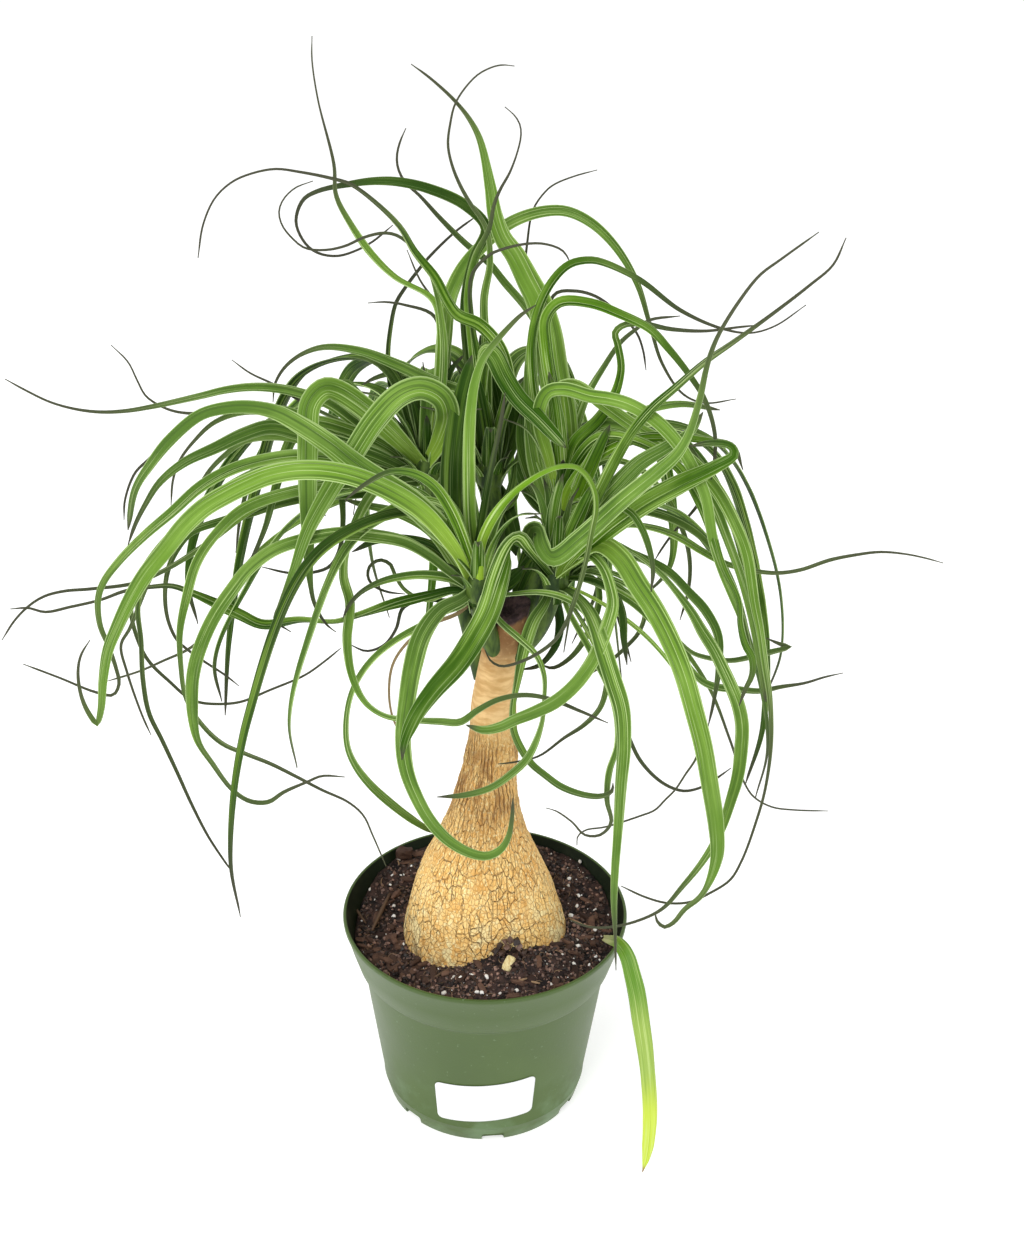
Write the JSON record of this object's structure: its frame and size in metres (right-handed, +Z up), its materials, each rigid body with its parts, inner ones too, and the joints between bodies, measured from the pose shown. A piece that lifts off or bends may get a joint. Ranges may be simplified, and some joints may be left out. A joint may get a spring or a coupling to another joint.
{
  "type": "potted ponytail palm",
  "caption": "Young ponytail palm with a swollen corky trunk, cut off at the top and sprouting heads of long curling strap leaves, in a round green nursery pot of soil.",
  "frame": {"origin": "centre of the pot's flat bottom, on the surface that the pot stands on", "axes": "+Z up, -Y towards the front, where the label is, +X to the right as seen from the front"},
  "size_m": [0.4713, 0.2495, 0.5545],
  "materials": {
    "pot_plastic": "satin moulded polypropylene, dusty grey-green",
    "label_paper": "plain white sticker, bare",
    "potting_soil": "moist dark peat and bark with white grit",
    "pale_wood": "fresh split wood",
    "corky_bark": "corky plates with dark cracks below, smooth tan above",
    "leaf_green": "waxy strap leaves, bright at the root and dark at the tip",
    "leaf_yellowing": "waxy strap leaf turning yellow"
  },
  "bodies": {
    "root": {"pot": "pot_plastic", "label": "label_paper", "soil": "potting_soil", "wood_chip": "pale_wood", "trunk": "corky_bark", "head_front_left": "leaf_green", "head_right": "leaf_green", "head_back_left": "leaf_green", "head_back_right": "leaf_green", "head_back_centre": "leaf_green", "draped_leaf": "leaf_yellowing"}
  },
  "joints": []
}
